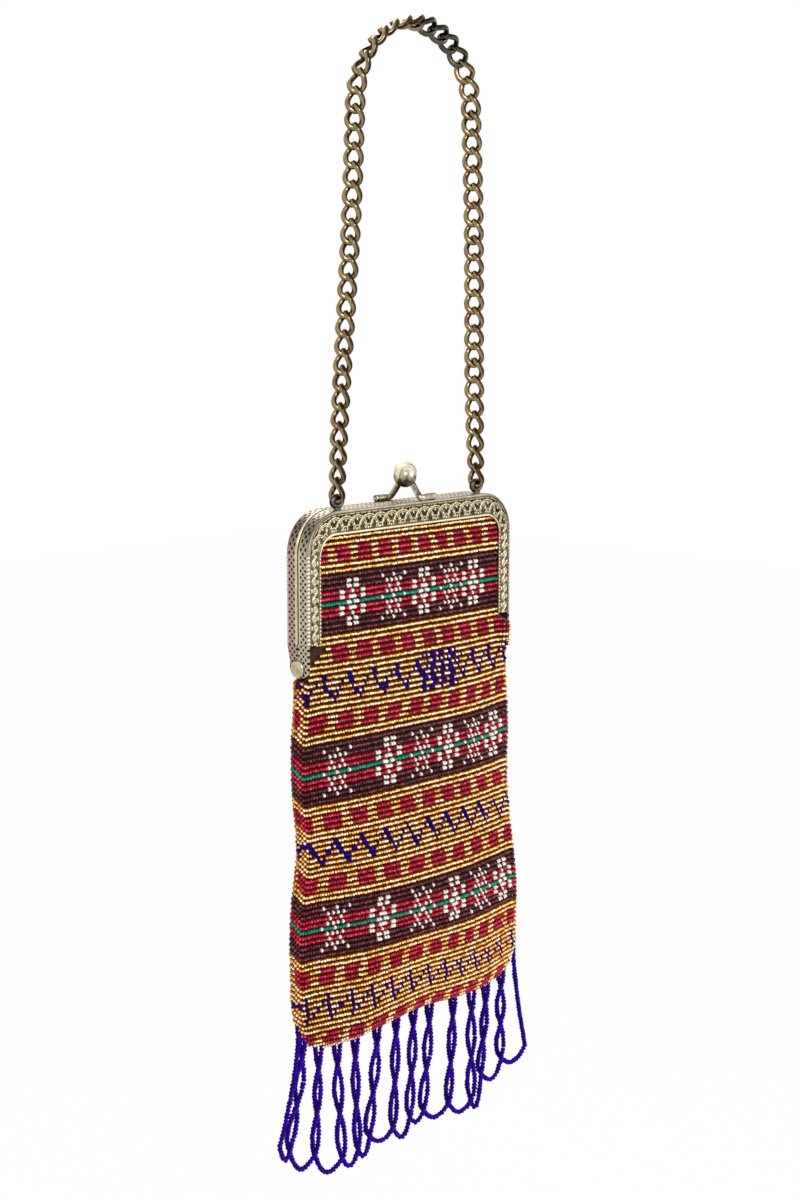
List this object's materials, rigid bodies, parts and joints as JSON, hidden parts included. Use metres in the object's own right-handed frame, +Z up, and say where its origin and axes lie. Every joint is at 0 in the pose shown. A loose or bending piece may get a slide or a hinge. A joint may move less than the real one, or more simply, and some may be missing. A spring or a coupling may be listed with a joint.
{
  "type": "beaded frame bag",
  "caption": "Flat beaded pouch on a hinged kiss-lock brass frame, with a curb-chain handle and a fringe of twisted bead loops. It opens at the frame and hangs by the chain.",
  "frame": {"origin": "top of the chain handle, on the chain's centre line, where a hand or hook holds it", "axes": "+Z up along the hanging bag, +X to the right as seen from the front, the front faces -Y"},
  "size_m": [0.1396, 0.0196, 0.4616],
  "materials": {
    "chain_brass": "dark antique brass, polished on the high spots",
    "frame_brass": "pale antique brass, embossed, dark in the recesses",
    "polished_brass": "polished pale brass",
    "eye_metal": "dark gunmetal",
    "bead_cloth": "rows of glossy glass seed beads couched on cloth",
    "blue_beads": "glossy blue-violet glass beads on thread",
    "lining_cloth": "plain woven cotton",
    "paper_cord": "twisted paper"
  },
  "bodies": {
    "chain": {"chain_left_lower": "chain_brass", "chain_left_middle": "chain_brass", "chain_left_upper": "chain_brass", "chain_arch_left": "chain_brass", "chain_arch_top": "chain_brass", "chain_arch_right": "chain_brass", "chain_right_upper": "chain_brass", "chain_right_middle": "chain_brass", "chain_right_lower": "chain_brass"},
    "front_half": {"front_frame": "frame_brass", "left_hinge_rivet": "polished_brass", "right_hinge_rivet": "polished_brass", "front_clasp_stem": "frame_brass", "front_clasp_ball": "polished_brass", "left_chain_eye": "eye_metal", "right_chain_eye": "eye_metal", "front_window_panel": "bead_cloth", "front_window_lining": "lining_cloth", "front_channel_cord": "paper_cord"},
    "pouch": {"pouch_front_panel": "bead_cloth", "pouch_back_panel": "bead_cloth", "pouch_lining": "lining_cloth", "fringe_loop_01": "blue_beads", "fringe_loop_02": "blue_beads", "fringe_loop_03": "blue_beads", "fringe_loop_04": "blue_beads", "fringe_loop_05": "blue_beads", "fringe_loop_06": "blue_beads", "fringe_loop_07": "blue_beads", "fringe_loop_08": "blue_beads", "fringe_loop_09": "blue_beads", "fringe_loop_10": "blue_beads", "fringe_loop_11": "blue_beads", "fringe_loop_12": "blue_beads", "fringe_loop_13": "blue_beads"},
    "rear_half": {"rear_frame": "frame_brass", "rear_clasp_stem": "frame_brass", "rear_clasp_ball": "polished_brass", "back_window_panel": "bead_cloth", "back_window_lining": "lining_cloth", "rear_channel_cord": "paper_cord"}
  },
  "joints": [
    {"name": "handle_swing", "type": "hinge", "parent": "chain", "child": "front_half", "pos_m": [0, 0, -0.1818], "axis": [1, 0, 0], "range_deg": [-80, 80]},
    {"name": "front_hinge", "type": "hinge", "parent": "front_half", "child": "pouch", "pos_m": [0, 0.0032, -0.248], "axis": [-1, 0, 0], "range_deg": [0, 35]},
    {"name": "rear_hinge", "type": "hinge", "parent": "pouch", "child": "rear_half", "pos_m": [0, 0.0032, -0.248], "axis": [-1, 0, 0], "range_deg": [0, 35]}
  ],
  "couplings": [
    {"joint": "rear_hinge", "follows": "front_hinge", "ratio": 1}
  ]
}
